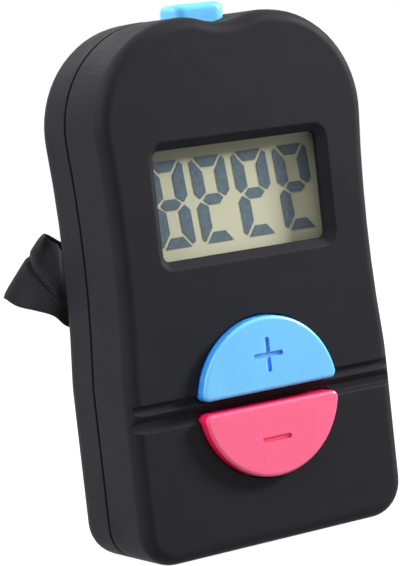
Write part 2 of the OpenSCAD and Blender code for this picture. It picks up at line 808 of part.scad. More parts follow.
module circuit_board() {
    color("#1f6b3c") slab(board_y, board_back_y) difference() {
        polygon([[-board_half_w, board_foot_z], [board_half_w, board_foot_z],
            [board_half_w, board_neck_z], [board_neck_w, board_neck_z],
            [board_neck_w, board_top_z], [-board_neck_w, board_top_z],
            [-board_neck_w, board_neck_z], [-board_half_w, board_neck_z]]);
        for (p = post_places) translate(p) circle(r = post_screw_r + 0.15);
    }
}

// Parts on the back of the board, above the battery bay
chip_row_z = window_z + 2 * dome_rim_r;
module controller_chip() {
    dome_r = (dome_rim_r * dome_rim_r + dome_rise * dome_rise) / (2 * dome_rise);
    color("#151515") intersection() {
        translate([0, board_back_y + dome_rise - dome_r, window_z]) sphere(r = dome_r, $fn = 96);
        rod([0, window_z], dome_r, board_back_y, board_back_y + 2 * dome_rise);
    }
}

module timing_crystal() {
    color("#b9bcc0") translate([-2 * dome_rim_r, board_back_y + crystal_r, chip_row_z])
        rotate([0, 90, 0]) cylinder(r = crystal_r, h = crystal_l);
}

// Row of chips on the back of the board, growing to the right from x
module chip_row(count, x, z, height) {
    for (i = [0 : count - 1])
        block([x + 2 * chip_w * i, board_back_y, z - chip_l / 2],
            [x + 2 * chip_w * i + chip_w, board_back_y + height, z + chip_l / 2]);
}

module chip_capacitors() {
    color("#b08a5a") chip_row(3, dome_rim_r, chip_row_z, capacitor_t);
}

module chip_resistors() {
    color("#202428") chip_row(4, -board_half_w + chip_l, window_z, resistor_t);
}

// Body of a push switch on the front of the board, with the well that its plunger slides in
module push_switch(lower) {
    color("#26272a") key_place(lower) difference() {
        block([-switch_w / 2, switch_face_y, mark_rise - switch_w / 2],
            [switch_w / 2, board_y, mark_rise + switch_w / 2]);
        rod([0, mark_rise], plunger_r + eps, switch_face_y - 1, switch_face_y + key_travel + 0.8);
    }
}

module push_plunger(lower) {
    color("#8a8d92") key_place(lower) rod([0, mark_rise], plunger_r, key_back_y, switch_face_y + 0.6);
}

module plus_switch() { push_switch(0); }
module minus_switch() { push_switch(1); }
module plus_plunger() { push_plunger(0); }
module minus_plunger() { push_plunger(1); }

module power_switch() {
    color("#26272a") difference() {
        block([-switch_w / 2, board_back_y, power_switch_top - power_switch_h],
            [switch_w / 2, board_back_y + power_switch_d, power_switch_top]);
        translate([0, power_switch_y, power_switch_top - key_travel - 2 * plunger_show])
            cylinder(r = power_plunger_r + eps, h = power_switch_h);
    }
}

module power_plunger() {
    color("#8a8d92") translate([0, power_switch_y, power_switch_top - plunger_show])
        cylinder(r = power_plunger_r, h = power_foot_z - power_switch_top + plunger_show);
}

module coin_cell() {
    color("#c4c6c8") {
        rod([0, bay_z], cell_r, cell_front_y + 0.5, cell_back_y);
        rod([0, bay_z], cell_r - 1, cell_front_y, cell_front_y + 0.5 + eps);
    }
}

// Clip that touches the side of the cell and a foot that is soldered to the board
module positive_contact() {
    clip_x = cell_r + eps;
    color("#caa23e") {
        block([clip_x, board_back_y, bay_z - contact_w / 2],
            [clip_x + contact_t, cell_back_y - contact_w * contact_t, bay_z + contact_w / 2]);
        block([clip_x, board_back_y, bay_z - contact_w / 2],
            [bay_outer_r + contact_w / 2, board_back_y + contact_t, bay_z + contact_w / 2]);
    }
}

// Flat spring under the cell
module negative_contact() {
    color("#caa23e") {
        block([-contact_w / 2, board_back_y, bay_z - contact_w],
            [contact_w / 2, board_back_y + contact_t, bay_z + contact_w]);
        rod([0, bay_z], contact_w / 3, board_back_y, cell_front_y);
    }
}

// Pan-head screw along Y: the head's seat is at y_seat and the tip points to -Y
module screw(p, y_seat, shank_r, shank_len, head_r, head_t) {
    difference() {
        union() {
            rod(p, shank_r, y_seat - shank_len, y_seat + eps);
            rod(p, head_r, y_seat, y_seat + head_t);
        }
        for (a = [0, 90]) translate([p[0], y_seat + head_t, p[1]]) rotate([0, a, 0])
            block([-head_r * 0.6, -head_t / 2, -0.2], [head_r * 0.6, 1, 0.2]);
    }
}

module board_screws() {
    color("#9a9da2") for (p = post_places)
        screw(p, board_back_y, post_screw_r, post_screw_len, post_head_r, 0.65 * post_head_r);
}

module case_screws() {
    color("#9a9da2") for (p = boss_places)
        screw(p, screw_seat_y, screw_r, screw_len, screw_head_r, 0.7 * screw_head_r);
}

module strap_pins() {
    color("#9a9da2") for (s = [-1, 1])
        translate([s * strap_x, pin_y, strap_z - slot_half_h - 1]) cylinder(r = pin_r, h = 2 * slot_half_h + 2);
}

// Route of the strap: [x, y behind the back face, height from strap_z, tilt, twist], chosen by
// hand. x is measured from the left slot, then from the middle, then from the right slot. The
// tilt turns the webbing in the plane of the back, the twist takes its upper edge backwards.
strap_left = [
    [0, -1.6, 0, 0, 0], [0, 0.1, 0, 0, 0], [-1.2, 0.9, -0.1, 0, 0], [-2.7, 1.5, -0.1, 2, 2],
    [-3.6, 2.1, 1.1, 20, 20], [-4.9, 3, 1.9, 30, 17], [-6, 4, 2.6, 35, 4], [-6.3, 5, 3.2, 42, 0],
    [-5.5, 6, 3, 38, -8], [-3.8, 6.9, 2.2, 28, -20], [-1.2, 7.7, 1.1, 15, -26],
    [2.6, 8.3, 0.2, 5, -22], [8.6, 8.7, -0.1, 0, -8]
];
strap_right = [
    [-8.6, 8.7, 0, 0, 0], [-2.6, 8.3, 0, 0, 0], [1.9, 7.1, 0, 0, 0], [3.7, 5, 0, 0, 0],
    [3, 2.8, 0, 0, 0], [0.8, 1.3, 0, 0, 0], [0, 0.1, 0, 0, 0], [0, -1.6, 0, 0, 0]
];
strap_route = concat(
    [for (s = strap_left) [s[0] - strap_x, back_y + s[1], strap_z + s[2], s[3], s[4]]],
    [[0, back_y + 8.8, strap_z, 0, 0]],
    [for (s = strap_right) [s[0] + strap_x, back_y + s[1], strap_z + s[2], s[3], s[4]]]);

// Smooth curve through the points of a route, with the given steps between two points
function smooth_at(v, i, t) =
    let (
        a = v[max(i - 1, 0)],
        b = v[i],
        c = v[min(i + 1, len(v) - 1)],
        d = v[min(i + 2, len(v) - 1)]
    )
    0.5 * (2 * b + (c - a) * t + (2 * a - 5 * b + 4 * c - d) * t * t
        + (3 * b - a - 3 * c + d) * t * t * t);
function smooth(v, steps) =
    concat([for (i = [0 : len(v) - 2], k = [0 : steps - 1]) smooth_at(v, i, k / steps)],
        [v[len(v) - 1]]);

// Four corners of the webbing at station i of a route
function webbing_ring(route, i) =
    let (
        s = route[i],
        before = route[max(i - 1, 0)],
        after = route[min(i + 1, len(route) - 1)],
        along = [after[0] - before[0], after[1] - before[1], after[2] - before[2]],
        across = [sin(s[3]) * cos(s[4]), sin(s[4]), cos(s[3]) * cos(s[4])],
        out = cross(along, across),
        h = strap_w / 2 * across,
        t = strap_t / 2 * out / norm(out),
        c = [s[0], s[1], s[2]]
    )
    [c - h - t, c + h - t, c + h + t, c - h + t];

module webbing(route) {
    count = len(route);
    points = [for (i = [0 : count - 1]) each webbing_ring(route, i)];
    sides = [for (k = [0 : count - 2], i = [0 : 3])
        let (a = 4 * k + i, b = 4 * k + (i + 1) % 4)
        each [[a, a + 4, b], [b, a + 4, b + 4]]];
    last = 4 * (count - 1);
    polyhedron(points, concat([[0, 1, 2, 3]], sides, [[last + 3, last + 2, last + 1, last]]), convexity = 8);
}

module hand_strap() {
    color("#1d1d1f") {
        webbing(smooth(strap_route, 3));
        for (s = [-1, 1]) translate([s * strap_x, pin_y, strap_z - strap_w / 2]) difference() {
            cylinder(r = pin_r + eps + strap_t, h = strap_w);
            translate([0, 0, -1]) cylinder(r = pin_r + eps, h = strap_w + 2);
        }
    }
}

front_shell();
rear_cover();
battery_lid();
plus_button();
minus_button();
power_button();
lcd_gasket();
lcd_polariser();
lcd_front_glass();
lcd_segments();
lcd_rear_glass();
lcd_reflector();
lcd_holder();
zebra_strip();
circuit_board();
controller_chip();
timing_crystal();
chip_capacitors();
chip_resistors();
plus_switch();
plus_plunger();
minus_switch();
minus_plunger();
power_switch();
power_plunger();
coin_cell();
positive_contact();
negative_contact();
board_screws();
case_screws();
strap_pins();
hand_strap();
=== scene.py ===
import math

import bmesh
import bpy
import numpy as np
from mathutils import Matrix, Vector


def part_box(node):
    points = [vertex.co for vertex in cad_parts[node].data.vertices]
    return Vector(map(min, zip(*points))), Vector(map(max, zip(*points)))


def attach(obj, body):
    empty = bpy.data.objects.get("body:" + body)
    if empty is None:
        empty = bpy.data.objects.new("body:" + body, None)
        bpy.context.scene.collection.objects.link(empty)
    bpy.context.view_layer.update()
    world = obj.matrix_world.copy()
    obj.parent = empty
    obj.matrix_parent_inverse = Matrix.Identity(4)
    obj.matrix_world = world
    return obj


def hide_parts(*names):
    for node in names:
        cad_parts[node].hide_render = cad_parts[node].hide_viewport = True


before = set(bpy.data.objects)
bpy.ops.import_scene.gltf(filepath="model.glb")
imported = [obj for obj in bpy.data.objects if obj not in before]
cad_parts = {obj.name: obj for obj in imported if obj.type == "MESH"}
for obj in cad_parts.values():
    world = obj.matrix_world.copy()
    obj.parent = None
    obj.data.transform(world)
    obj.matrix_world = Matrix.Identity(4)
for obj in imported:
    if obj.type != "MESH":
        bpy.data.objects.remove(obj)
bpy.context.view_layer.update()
MM = 0.001
scene = bpy.context.scene


# Camera, fitted to the photograph's outlines: degrees, millimetres of the row frame and pixels

AZIMUTH, ELEVATION, ROLL = -31.574, 5.467, 6.362
CAMERA_AT = (-160.7, -256.65, 62.4)
FOCAL_PIXELS = 2354.6
PHOTO_HEIGHT = 566
SENSOR = 36


def make_camera():
    azimuth, elevation, roll = (math.radians(d) for d in (AZIMUTH, ELEVATION, ROLL))
    back = Vector((math.sin(azimuth) * math.cos(elevation),
                   -math.cos(azimuth) * math.cos(elevation), math.sin(elevation)))
    right = Vector((math.cos(azimuth), math.sin(azimuth), 0))
    up = back.cross(right)
    cam_x = right * math.cos(roll) - up * math.sin(roll)
    cam_y = right * math.sin(roll) + up * math.cos(roll)
    data = bpy.data.cameras.new("camera")
    data.sensor_width = SENSOR
    data.lens = FOCAL_PIXELS * SENSOR / PHOTO_HEIGHT
    data.clip_start, data.clip_end = 0.01, 10
    cam = bpy.data.objects.new("camera", data)
    scene.collection.objects.link(cam)
    turn = Matrix((cam_x, cam_y, back)).transposed().to_4x4()
    cam.matrix_world = Matrix.Translation(Vector(CAMERA_AT) * MM) @ turn
    scene.camera = cam


# Shader nodes

# Most values of a noise texture lie between these two
NOISE_LOW, NOISE_HIGH = 0.3, 0.7
NOISE_ROUGHNESS = 0.55
AO_SAMPLES, BEVEL_SAMPLES = 8, 6
# Places of the colour sockets on a Mix node, which has four sockets of each name
MIX_A, MIX_B, MIX_RESULT = 6, 7, 2


def emptied(owner):
    """The node tree of a material or world, with nothing in it."""
    owner.use_nodes = True
    owner.node_tree.nodes.clear()
    return owner.node_tree


def node(tree, kind, **values):
    """A new node. Each value goes to the input of its name, or else to the node's property."""
    n = tree.nodes.new("ShaderNode" + kind)
    for key, value in values.items():
        if key in n.inputs:
            n.inputs[key].default_value = value
        else:
            setattr(n, key, value)
    return n


def noise(tree, scale, detail, stretch=(1, 1, 1)):
    mapping = node(tree, "Mapping", Scale=stretch)
    tex = node(tree, "TexNoise", Scale=scale, Detail=detail, Roughness=NOISE_ROUGHNESS)
    tree.links.new(node(tree, "TexCoord").outputs["Object"], mapping.inputs["Vector"])
    tree.links.new(mapping.outputs["Vector"], tex.inputs["Vector"])
    return tex.outputs["Fac"]


def colored(tree, value, low, high, start=NOISE_LOW, end=NOISE_HIGH):
    """Colour low where the value is start or less, colour high where it is end or more."""
    ramp = node(tree, "ValToRGB")
    for stop, place, color in zip(ramp.color_ramp.elements, (start, end), (low, high)):
        stop.position = place
        stop.color = (*color, 1)
    tree.links.new(value, ramp.inputs["Fac"])
    return ramp.outputs["Color"]


def ranged(tree, value, start, end, low=0.0, high=1.0):
    """Number low where the value is start, high where it is end, and held beyond them."""
    n = node(tree, "MapRange")
    for key, number in (("From Min", start), ("From Max", end), ("To Min", low), ("To Max", high)):
        n.inputs[key].default_value = number
    tree.links.new(value, n.inputs["Value"])
    return n.outputs["Result"]


def varied(tree, value, low, high):
    """Number low to high, following a noise or a wave."""
    return ranged(tree, value, NOISE_LOW, NOISE_HIGH, low, high)


def calculated(tree, operation, first, second):
    n = node(tree, "Math", operation=operation)
    tree.links.new(first, n.inputs[0])
    tree.links.new(second, n.inputs[1])
    return n.outputs["Value"]


def blended(tree, factor, base, color):
    """The base, turning into one plain colour where the factor is 1."""
    mix = node(tree, "Mix", data_type="RGBA")
    tree.links.new(factor, mix.inputs["Factor"])
    tree.links.new(base, mix.inputs[MIX_A])
    mix.inputs[MIX_B].default_value = (*color, 1)
    return mix.outputs[MIX_RESULT]


def hollows(tree, reach, open_share, closed_share, most=1.0):
    """0 where a surface is open, most where walls within reach close it in."""
    ao = node(tree, "AmbientOcclusion", samples=AO_SAMPLES, Distance=reach)
    return ranged(tree, ao.outputs["AO"], open_share, closed_share, high=most)


def bumped(tree, bsdf, height, distance, normal=None):
    bump = node(tree, "Bump", Distance=distance, Strength=1.0)
    tree.links.new(height, bump.inputs["Height"])
    if normal is not None:
        tree.links.new(normal, bump.inputs["Normal"])
    tree.links.new(bump.outputs["Normal"], bsdf.inputs["Normal"])


# Materials, with lengths in metres

# Moulded plastic: the polish varies by this much, in patches finer than those of shade
POLISH_SPREAD, POLISH_FINER = 0.05, 1.7
COAT_ROUGHNESS = 0.25
LIGHT_REACH = (0.0008, 0.0008, 0.0012)
# Painted shade on side walls and engraved marks: how far a full side wall still faces the front, and how
# a mark is found
FRONT = (0, -1, 0)
WALL_FACING = 0.15
MARK_REACH, MARK_OPEN, MARK_CLOSED, MARK_SHADE_STRENGTH = 0.0007, 1.0, 0.5, 0.6
# Brushed metal
BRUSH_SCALE, BRUSH_STRETCH, BRUSH_DEPTH = 4000, (1, 1, 8), 0.000006
METAL_SMOOTH, METAL_ROUGH = 0.22, 0.4
# Clear panes
PANE_PATCH_SCALE, PANE_POLISH_SCALE = 300, 900
PANE_SMOOTH, PANE_ROUGH = 0.08, 0.14


def material(name):
    """A material, its node tree and its shader."""
    mat = bpy.data.materials.new(name)
    tree = emptied(mat)
    bsdf = node(tree, "BsdfPrincipled")
    tree.links.new(bsdf.outputs["BSDF"], node(tree, "OutputMaterial").inputs["Surface"])
    return mat, tree, bsdf


def times(color, factor):
    return tuple(min(1, c * factor) for c in color)


def with_painted_shade(tree, base, shade_color, start):
    """Painted shade: the shade colour in engraved marks and on walls that face the front by less than
    start.
    """
    facing = node(tree, "VectorMath", operation="DOT_PRODUCT")
    facing.inputs[1].default_value = FRONT
    tree.links.new(node(tree, "TexCoord").outputs["Normal"], facing.inputs[0])
    walls = ranged(tree, facing.outputs["Value"], start, WALL_FACING)
    # Painted shade in the engraved marks, found by ambient occlusion
    marks = hollows(tree, MARK_REACH, MARK_OPEN, MARK_CLOSED, MARK_SHADE_STRENGTH)
    return blended(tree, calculated(tree, "MAXIMUM", walls, marks), base, shade_color)


def moulded(name, color, rough, grain=0.00016, depth=0.000012, spread=0.08, specular=0.5, coat=0.0,
            subsurface=0.0, patch=0.006, soft=0.0, shade_color=None, start=0.75):
    """Moulded plastic: spark-eroded grain of a size and depth, and patches of shade and polish.

    The shade varies by the spread, and soft is the radius of edges rounded in shading. The side
    walls and engraved marks of a key get painted shade, a darker and more saturated colour.
    """
    mat, tree, bsdf = material(name)
    shade = noise(tree, 1 / patch, 4)
    base = colored(tree, shade, times(color, 1 - spread), times(color, 1 + spread))
    # Painted shade: walls turned away from the front and engraved marks take the darker colour
    if shade_color:
        base = with_painted_shade(tree, base, shade_color, start)
    tree.links.new(base, bsdf.inputs["Base Color"])
    polish = noise(tree, 1 / patch * POLISH_FINER, 4)
    tree.links.new(varied(tree, polish, rough - POLISH_SPREAD, rough + POLISH_SPREAD),
                   bsdf.inputs["Roughness"])
    rounded = None
    if soft:
        rounded = node(tree, "Bevel", samples=BEVEL_SAMPLES, Radius=soft).outputs["Normal"]
    bumped(tree, bsdf, noise(tree, 1 / grain, 2), depth, rounded)
    bsdf.inputs["Specular IOR Level"].default_value = specular
    bsdf.inputs["Coat Weight"].default_value = coat
    bsdf.inputs["Coat Roughness"].default_value = COAT_ROUGHNESS
    if subsurface:
        bsdf.inputs["Subsurface Weight"].default_value = subsurface
        bsdf.inputs["Subsurface Radius"].default_value = LIGHT_REACH
        bsdf.inputs["Subsurface Scale"].default_value = 1.0
    return mat


def metal(name, color):
    """Brushed metal, its lines seen in colour, polish and height."""
    mat, tree, bsdf = material(name)
    lines = noise(tree, BRUSH_SCALE, 3, BRUSH_STRETCH)
    tree.links.new(colored(tree, lines, times(color, 0.88), times(color, 1.05)),
                   bsdf.inputs["Base Color"])
    tree.links.new(varied(tree, lines, METAL_SMOOTH, METAL_ROUGH), bsdf.inputs["Roughness"])
    bumped(tree, bsdf, lines, BRUSH_DEPTH)
    bsdf.inputs["Metallic"].default_value = 1
    return mat


def pane(name, color, alpha):
    """A clear pane, of which alpha is the share that its own surface shows."""
    mat, tree, bsdf = material(name)
    tree.links.new(colored(tree, noise(tree, PANE_PATCH_SCALE, 2), times(color, 0.97), color),
                   bsdf.inputs["Base Color"])
    tree.links.new(varied(tree, noise(tree, PANE_POLISH_SCALE, 3), PANE_SMOOTH, PANE_ROUGH),
                   bsdf.inputs["Roughness"])
    bsdf.inputs["Alpha"].default_value = alpha
    return mat


make_camera()

case_mat = moulded("case_plastic", (0.0136, 0.0137, 0.017), 0.6, specular=0.09, soft=0.0003)
# The second colour given to each key plastic is painted shade for its side walls and engraved marks
blue_mat = moulded("blue_plastic", (0.16, 0.57, 1.0), 0.32, spread=0.03, subsurface=0.4, coat=0.2,
                   shade_color=(0.05, 0.36, 1.0))
pink_mat = moulded("pink_plastic", (1.0, 0.12, 0.26), 0.32, spread=0.03, subsurface=0.4, coat=0.2,
                   shade_color=(1.0, 0.015, 0.11), start=0.97)
cyan_mat = moulded("cyan_plastic", (0.135, 0.56, 0.97), 0.35, spread=0.03, subsurface=0.5, soft=0.0006)
inner_mat = moulded("inner_plastic", (0.018, 0.018, 0.02), 0.5)
grey_mat = moulded("plunger_plastic", (0.3, 0.3, 0.32), 0.45)
foam_mat = moulded("foam", (0.012, 0.012, 0.013), 0.9, grain=0.0003, depth=0.00006)
rubber_mat = moulded("contact_rubber", (0.5, 0.42, 0.36), 0.7)
board_mat = moulded("board_laminate", (0.01, 0.13, 0.045), 0.3, grain=0.0004, depth=0.000008)
resin_mat = moulded("black_resin", (0.01, 0.01, 0.011), 0.2, depth=0.00001)
ceramic_mat = moulded("capacitor_ceramic", (0.42, 0.25, 0.1), 0.4)
steel_mat = metal("bright_steel", (0.62, 0.63, 0.65))
brass_mat = metal("contact_brass", (0.78, 0.58, 0.26))
film_mat = pane("film", (0.75, 0.78, 0.62), 0.06)
glass_mat = pane("display_glass", (0.85, 0.88, 0.82), 0.02)
ground_mat = moulded("display_ground", (0.57, 0.56, 0.405), 0.55, grain=0.0001, depth=0.00001,
                     spread=0.03, specular=0.15)
foil_mat = moulded("reflector_foil", (0.62, 0.6, 0.4), 0.6, grain=0.0001, depth=0.00001, spread=0.03)
segment_mat = moulded("segment_dye", (0.09, 0.135, 0.17), 0.4, grain=0.0002, spread=0.2,
                      patch=0.0006, specular=0.15)


# CAD nodes and the copies that show in the place of some of them

DRESSES = (
    (case_mat, ("front_shell", "rear_cover", "battery_lid")),
    (blue_mat, ("plus_button",)),
    (pink_mat, ("minus_button",)),
    (cyan_mat, ("power_button",)),
    (foam_mat, ("lcd_gasket",)),
    (film_mat, ("lcd_polariser",)),
    (glass_mat, ("lcd_front_glass", "lcd_rear_glass")),
    (segment_mat, ("lcd_segments",)),
    (foil_mat, ("lcd_reflector",)),
    (inner_mat, ("lcd_holder", "plus_switch", "minus_switch", "power_switch")),
    (rubber_mat, ("zebra_strip",)),
    (board_mat, ("circuit_board",)),
    (resin_mat, ("controller_chip", "chip_resistors")),
    (ceramic_mat, ("chip_capacitors",)),
    (grey_mat, ("plus_plunger", "minus_plunger", "power_plunger")),
    (steel_mat, ("timing_crystal", "coin_cell", "board_screws", "case_screws", "strap_pins")),
    (brass_mat, ("positive_contact", "negative_contact")),
)
COPIES = (
    ("front_moulding", "front_shell", "case", "case_plastic", case_mat),
    ("rear_moulding", "rear_cover", "case", "case_plastic", case_mat),
    ("lid_moulding", "battery_lid", "lid", "case_plastic", case_mat),
    ("plus_cap", "plus_button", "plus_key", "blue_plastic", blue_mat),
    ("minus_cap", "minus_button", "minus_key", "pink_plastic", pink_mat),
    ("power_cap", "power_button", "power_key", "cyan_plastic", cyan_mat),
)
# Faces lie in one plane if their normals and their offsets in metres round to the same steps
NORMAL_STEPS, OFFSET_STEPS = 500, 1e5
# A plane of this many square metres is a flat face, and no strip of a rounded edge
FLAT_AREA = 6e-6
SMOOTH_ANGLE = 22


def dress(mat, names):
    for name in names:
        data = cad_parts[name].data
        data.materials.clear()
        data.materials.append(mat)


def add_object(name, bm, mat):
    """Put a bmesh into the scene as an object of one material."""
    mesh = bpy.data.meshes.new(name)
    bm.to_mesh(mesh)
    bm.free()
    mesh.materials.append(mat)
    obj = bpy.data.objects.new(name, mesh)
    scene.collection.objects.link(obj)
    return obj


def mended_normals(mesh):
    """A normal for each face corner: flat faces stay flat up to their edges, and the strips of a
    rounded edge run smoothly into them."""
    count = len(mesh.polygons)
    normals = np.zeros(count * 3)
    areas = np.zeros(count)
    mesh.polygons.foreach_get("normal", normals)
    mesh.polygons.foreach_get("area", areas)
    normals = normals.reshape(-1, 3)
    offsets = np.array([normals[i].dot(mesh.vertices[p.vertices[0]].co)
                        for i, p in enumerate(mesh.polygons)])
    keys = np.round(np.column_stack((normals * NORMAL_STEPS, offsets * OFFSET_STEPS))).astype(int)
    _, group = np.unique(keys, axis=0, return_inverse=True)
    group = group.ravel()
    plane = np.bincount(group, weights=areas)[group]
    around = [[] for _ in mesh.vertices]
    for i, p in enumerate(mesh.polygons):
        for v in p.vertices:
            around[v].append(i)
    limit = math.cos(math.radians(SMOOTH_ANGLE))
    mended = []
    for i, p in enumerate(mesh.polygons):
        for v in p.vertices:
            near = [j for j in around[v] if normals[j].dot(normals[i]) > limit]
            widest = max(near, key=lambda j: plane[j])
            if plane[i] > FLAT_AREA:
                n = normals[i]
            elif plane[widest] > FLAT_AREA:
                n = normals[widest]
            else:
                n = sum(normals[j] * (areas[j] + 1e-12) for j in near)
            mended.append(tuple(n / np.linalg.norm(n)))
    return mended


def shaded_copy(name, source, body, slot, mat):
    """A copy of a CAD node that has the same shape and mended shading."""
    bm = bmesh.new()
    bm.from_mesh(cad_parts[source].data)
    bmesh.ops.remove_doubles(bm, verts=bm.verts, dist=1e-8)
    obj = add_object(name, bm, mat)
    mesh = obj.data
    if mesh.attributes.get("custom_normal"):
        mesh.attributes.remove(mesh.attributes["custom_normal"])
    mended = mended_normals(mesh)
    for p in mesh.polygons:
        p.use_smooth = True
    mesh.normals_split_custom_set(mended)
    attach(obj, body)
    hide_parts(source)


for mat, names in DRESSES:
    dress(mat, names)
for row in COPIES:
    shaded_copy(*row)


# Display: film and front glass as one clear pane, and the opaque face behind the segments

FILM_THICKNESS, FILM_INSET = 0.15 * MM, 0.5 * MM
GLASS_CHAMFER = 0.12 * MM
SEGMENT_GAP = 0.005 * MM
# The opaque face reaches past the rear glass, so that the foil's front is inside it
FOIL_COVER = 0.02 * MM


def bonded(name, rings, mat, replaced):
    """A closed pane through rectangles, each with its y and how far it stands out round the glass."""
    low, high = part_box("lcd_front_glass")
    bm = bmesh.new()
    loops = []
    for y, out in rings:
        left, right, bottom, top = low.x - out, high.x + out, low.z - out, high.z + out
        corners = ((left, bottom), (right, bottom), (right, top), (left, top))
        loops.append([bm.verts.new((x, y, z)) for x, z in corners])
    for a, b in zip(loops, loops[1:]):
        for k in range(4):
            bm.faces.new((a[k], a[(k + 1) % 4], b[(k + 1) % 4], b[k]))
    bm.faces.new(loops[0][::-1])
    bm.faces.new(loops[-1])
    bmesh.ops.recalc_face_normals(bm, faces=bm.faces)
    obj = add_object(name, bm, mat)
    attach(obj, "case")
    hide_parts(*replaced)


def make_display():
    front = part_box("lcd_polariser")[0].y
    film_back = front + FILM_THICKNESS
    segments_front, segments_back = (corner.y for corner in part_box("lcd_segments"))
    bonded("display_front", [
        (front, -FILM_INSET), (film_back, -FILM_INSET), (film_back, -GLASS_CHAMFER),
        (film_back + GLASS_CHAMFER, 0), (segments_front - SEGMENT_GAP, 0),
    ], glass_mat, ("lcd_polariser", "lcd_front_glass"))
    bonded("display_ground", [
        (segments_back + SEGMENT_GAP, 0), (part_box("lcd_rear_glass")[1].y + FOIL_COVER, 0),
    ], ground_mat, ("lcd_rear_glass",))


make_display()


# Floor, world and lamps: metres and watts

FLOOR_REACH, FLOOR_SQUARES = 6, 8
FLOOR_GREY = (0.2, 0.2, 0.2, 1)
# The floor glows so that it shows white: distance and strength, near and far
NEAR, NEAR_GLOW = 0.15, 0.93
FAR, FAR_GLOW = 0.9, 1.0
WORLD_LIGHT, WORLD_SEEN = 0.05, 1.0
# Name, place, target, size and watts
LAMPS = (
    ("key", (0.47, -0.2, 0.26), (0, 0, 0.035), (0.12, 0.12), 5.5),
    ("side", (-0.3, -0.03, 0.26), (0, 0, 0.065), (0.3, 0.3), 1.9),
    ("top", (0.03, -0.16, 0.5), (0, 0, 0.04), (0.3, 0.2), 0.65),
    ("back", (-0.04, 0.33, 0.42), (0, 0, 0.04), (0.3, 0.3), 0.8),
)


def shows_background(tree):
    """1 on the rays that see the white background: from the camera, in gloss and through glass."""
    path = node(tree, "LightPath")
    seen = calculated(tree, "MAXIMUM", path.outputs["Is Camera Ray"], path.outputs["Is Glossy Ray"])
    return calculated(tree, "MAXIMUM", seen, path.outputs["Is Transmission Ray"])


def floor_material():
    """A plain pale floor that glows white where it is seen and still takes the object's shadow."""
    mat = bpy.data.materials.new("floor")
    tree = emptied(mat)
    away = node(tree, "VectorMath", operation="LENGTH")
    tree.links.new(node(tree, "TexCoord").outputs["Object"], away.inputs[0])
    strength = ranged(tree, away.outputs["Value"], NEAR, FAR, NEAR_GLOW, FAR_GLOW)
    glow = node(tree, "Emission")
    tree.links.new(calculated(tree, "MULTIPLY", shows_background(tree), strength),
                   glow.inputs["Strength"])
    both = node(tree, "AddShader")
    tree.links.new(node(tree, "BsdfDiffuse", Color=FLOOR_GREY).outputs["BSDF"], both.inputs[0])
    tree.links.new(glow.outputs["Emission"], both.inputs[1])
    tree.links.new(both.outputs["Shader"], node(tree, "OutputMaterial").inputs["Surface"])
    return mat


def make_floor():
    bm = bmesh.new()
    bmesh.ops.create_grid(bm, x_segments=FLOOR_SQUARES, y_segments=FLOOR_SQUARES, size=FLOOR_REACH)
    floor = add_object("floor", bm, floor_material())


def make_world():
    scene.world = bpy.data.worlds.new("world")
    tree = emptied(scene.world)
    background = node(tree, "Background", Color=(1, 1, 1, 1))
    tree.links.new(ranged(tree, shows_background(tree), 0, 1, WORLD_LIGHT, WORLD_SEEN),
                   background.inputs["Strength"])
    tree.links.new(background.outputs["Background"], node(tree, "OutputWorld").inputs["Surface"])


def lamp(name, place, target, size, watts):
    data = bpy.data.lights.new(name, "AREA")
    data.shape = "RECTANGLE"
    data.size, data.size_y = size
    data.energy = watts
    obj = bpy.data.objects.new(name, data)
    scene.collection.objects.link(obj)
    obj.location = place
    aim = Vector(target) - Vector(place)
    obj.rotation_euler = aim.to_track_quat("-Z", "Y").to_euler()


make_floor()
make_world()
for row in LAMPS:
    lamp(*row)


# Webbing strap, on the same route as the CAD solid: millimetres and degrees

BACK_Y, STRAP_Z, STRAP_X = 8.25, 34.8, 14.6
MIDDLE_REACH = 8.8
# Across, behind the back face, up, tilt and twist, from the left pin and to the right one
LEFT = [
    (0, -1.6, 0, 0, 0), (0, 0.1, 0, 0, 0), (-1.2, 0.9, -0.1, 0, 0), (-2.7, 1.5, -0.1, 2, 2),
    (-3.6, 2.1, 1.1, 20, 20), (-4.9, 3, 1.9, 30, 17), (-6, 4, 2.6, 35, 4), (-6.3, 5, 3.2, 42, 0),
    (-5.5, 6, 3, 38, -8), (-3.8, 6.9, 2.2, 28, -20), (-1.2, 7.7, 1.1, 15, -26),
    (2.6, 8.3, 0.2, 5, -22), (8.6, 8.7, -0.1, 0, -8),
]
RIGHT = [
    (-8.6, 8.7, 0, 0, 0), (-2.6, 8.3, 0, 0, 0), (1.9, 7.1, 0, 0, 0), (3.7, 5, 0, 0, 0),
    (3, 2.8, 0, 0, 0), (0.8, 1.3, 0, 0, 0), (0, 0.1, 0, 0, 0), (0, -1.6, 0, 0, 0),
]
ROUTE = ([(x - STRAP_X, BACK_Y + y, STRAP_Z + z, tilt, twist) for x, y, z, tilt, twist in LEFT]
         + [(0, BACK_Y + MIDDLE_REACH, STRAP_Z, 0, 0)]
         + [(x + STRAP_X, BACK_Y + y, STRAP_Z + z, tilt, twist) for x, y, z, tilt, twist in RIGHT])
ROUTE_STEPS = 16
WIDTH, THICKNESS, ACROSS = 10.0, 0.9, 40
# The edges keep this share of the thickness, and a high power makes the rounding narrow
EDGE_SHARE, EDGE_POWER = 0.45, 8
# The loop's crease runs slantwise from one place across the webbing, of -1 to 1, to another
CREASE_START, CREASE_LENGTH = 6.5, 4.8
CREASE_FROM, CREASE_SHIFT = -0.5, 0.8
FADE_IN, FADE_IN_LENGTH = 5.5, 2
FADE_OUT, FADE_OUT_LENGTH = 13, 1.5
VALLEY_DEPTH, VALLEY_LOSS, VALLEY_WIDTH = 0.85, 0.6, 0.4
RIDGE_HEIGHT, RIDGE_PAST, RIDGE_WIDTH = 0.5, 1.0, 0.7


